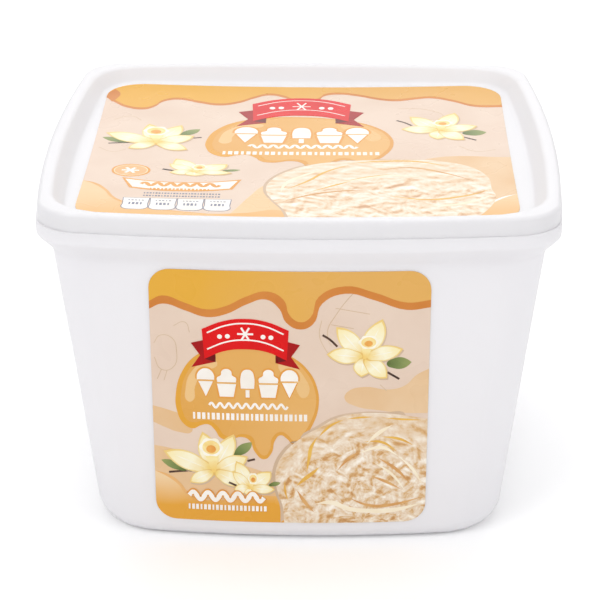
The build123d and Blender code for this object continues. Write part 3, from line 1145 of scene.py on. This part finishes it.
def relief(material, where, scale, shade):
    # light and dark sides of small bumps: a noise less the same noise a little way off
    both = []
    for offset in ((0, 0), shade):
        moved = addNode(material, "VectorMath", {0: where, 1: (*offset, 0)}).outputs["Vector"]
        both.append(addNoise(material, moved, scale, Detail=5, Roughness=0.6, Distortion=0.9))
    return maths(material, "SUBTRACT", *both)


def makeScoopInk(name):
    # creamy ridges and hollows that run round a middle, and small crumbs nearer to it
    look = scoopLook[name]
    material, where = startInk(name)
    centred = {0: where, 1: (*look["centre"], 0)}
    fromMiddle = addNode(material, "VectorMath", centred, operation="SUBTRACT").outputs["Vector"]
    sides = addNode(material, "SeparateXYZ", {"Vector": fromMiddle}).outputs
    turn = maths(material, "ARCTAN2", sides["X"], sides["Y"])
    away = addNode(material, "VectorMath", {0: fromMiddle}, operation="LENGTH").outputs["Value"]
    rounds = addNode(material, "CombineXYZ", {"X": turn, "Y": away}).outputs["Vector"]
    stretch = {"Vector": rounds, "Scale": (*look["streak"], 1)}
    stretched = addNode(material, "Mapping", stretch).outputs["Vector"]
    ridges = relief(material, stretched, 1.0, look["ridgeShade"])
    crumbs = relief(material, where, look["grain"], look["crumbShade"])
    crumbShare = maths(material, "MULTIPLY", rescaled(material, away, 0.25, 1, *look["crumbs"]),
                       look["crumb"])
    total = maths(material, "MULTIPLY_ADD", ridges, look["ridge"], look["level"])
    total = maths(material, "MULTIPLY_ADD", crumbs, crumbShare, total)
    return finishInk(material, where, colourRamp(material, total, look["stops"]))


def makeInks():
    made = {}
    for make, looks in ((makeInk, inkLook), (makeFadingInk, fadeLook), (makeSlopingInk, slopeLook),
                        (makeScoopInk, scoopLook)):
        made.update({name: make(name) for name in looks})
    return made


# Floor, light and camera

stageLook = {
    "floor": (0.93, 0.93, 0.935), "lift": 0.14,
    # lamps: place, height that they aim at, size and power
    "lamps": {"keyLight": ((-1.1, -1.2, 1.5), 0.08, 1.2, 11.5),
              "fillLight": ((1.3, -1.0, 1.1), 0.08, 1.2, 6.0),
              "topLight": ((0, 0.5, 1.7), 0.1, 1.4, 8.0),
              "backLight": ((0, 1.5, 0.9), 0.15, 1.3, 3.4)},
    "sky": 0.64,
    "lens": 128.32, "distance": 1.0517, "azimuth": 1.084, "elevation": 22.8,
    "target": (-0.00112, 0.0, 0.07595),
}


def makeFloor():
    look = stageLook
    bpy.ops.mesh.primitive_plane_add(size=9, location=(0, 0, 0))
    floor = bpy.context.object
    floor.name = "floor"
    material = startMaterial("paleFloor")
    seen = addNode(material, "LightPath", {}).outputs["Is Camera Ray"]
    feedShader(material, {
        "Base Color": (*look["floor"], 1), "Roughness": 0.8, "Specular IOR Level": 0.1,
        "Emission Color": (1, 1, 1, 1), "Emission Strength": maths(material, "MULTIPLY", seen, look["lift"]),
    })
    setMaterial(floor, material)


def areaLight(name, place, aim, size, power):
    bpy.ops.object.light_add(type="AREA", location=place)
    lamp = bpy.context.object
    lamp.name = name
    lamp.data.shape = "DISK"
    lamp.data.size = size
    lamp.data.energy = power
    lamp.rotation_euler = (Vector(aim) - Vector(place)).to_track_quat("-Z", "Y").to_euler()


def makeLights():
    look = stageLook
    for name, (place, aimHeight, size, power) in look["lamps"].items():
        areaLight(name, place, (0, 0, aimHeight), size, power)
    world = bpy.data.worlds.new("studio")
    bpy.context.scene.world = world
    world.use_nodes = True
    feed(world, world.node_tree.nodes["Background"], {"Color": (1, 1, 1, 1), "Strength": look["sky"]})


def makeCamera():
    look = stageLook
    turn, tilt = math.radians(look["azimuth"]), math.radians(look["elevation"])
    target = Vector(look["target"])
    away = Vector((math.sin(turn) * math.cos(tilt), -math.cos(turn) * math.cos(tilt), math.sin(tilt)))
    place = target + away * look["distance"]
    bpy.ops.object.camera_add(location=place)
    camera = bpy.context.object
    camera.rotation_euler = (-away).to_track_quat("-Z", "Y").to_euler()
    camera.data.lens = look["lens"]
    camera.data.sensor_width = 36
    bpy.context.scene.camera = camera


# Build

print("stage: tub and lid")
tub = makeTub()
lid = makeLid()
plastic = makePlastic("whitePlastic")
setMaterial(tub, plastic)
setMaterial(lid, plastic)
print("stage: films")
inks = makeInks()
frontMiddle = frontLook["base"] + frontLook["height"] / 2
frontFilm = makeFilm("filmFront", frontLook, drawFront, tub, "front", frontMiddle)
backFilm = turnedCopy(frontFilm, "filmBack")
topFilm = makeFilm("filmTop", topLook, drawTop, lid, "top", 0)
finishPiece(tub, "tub")
finishPiece(lid, "lid")
finishPiece(frontFilm, "label_front")
finishPiece(backFilm, "label_back")
finishPiece(topFilm, "label_lid")
print("stage: floor, lights and camera")
makeFloor()
makeLights()
makeCamera()
bpy.context.scene.view_settings.view_transform = "Standard"
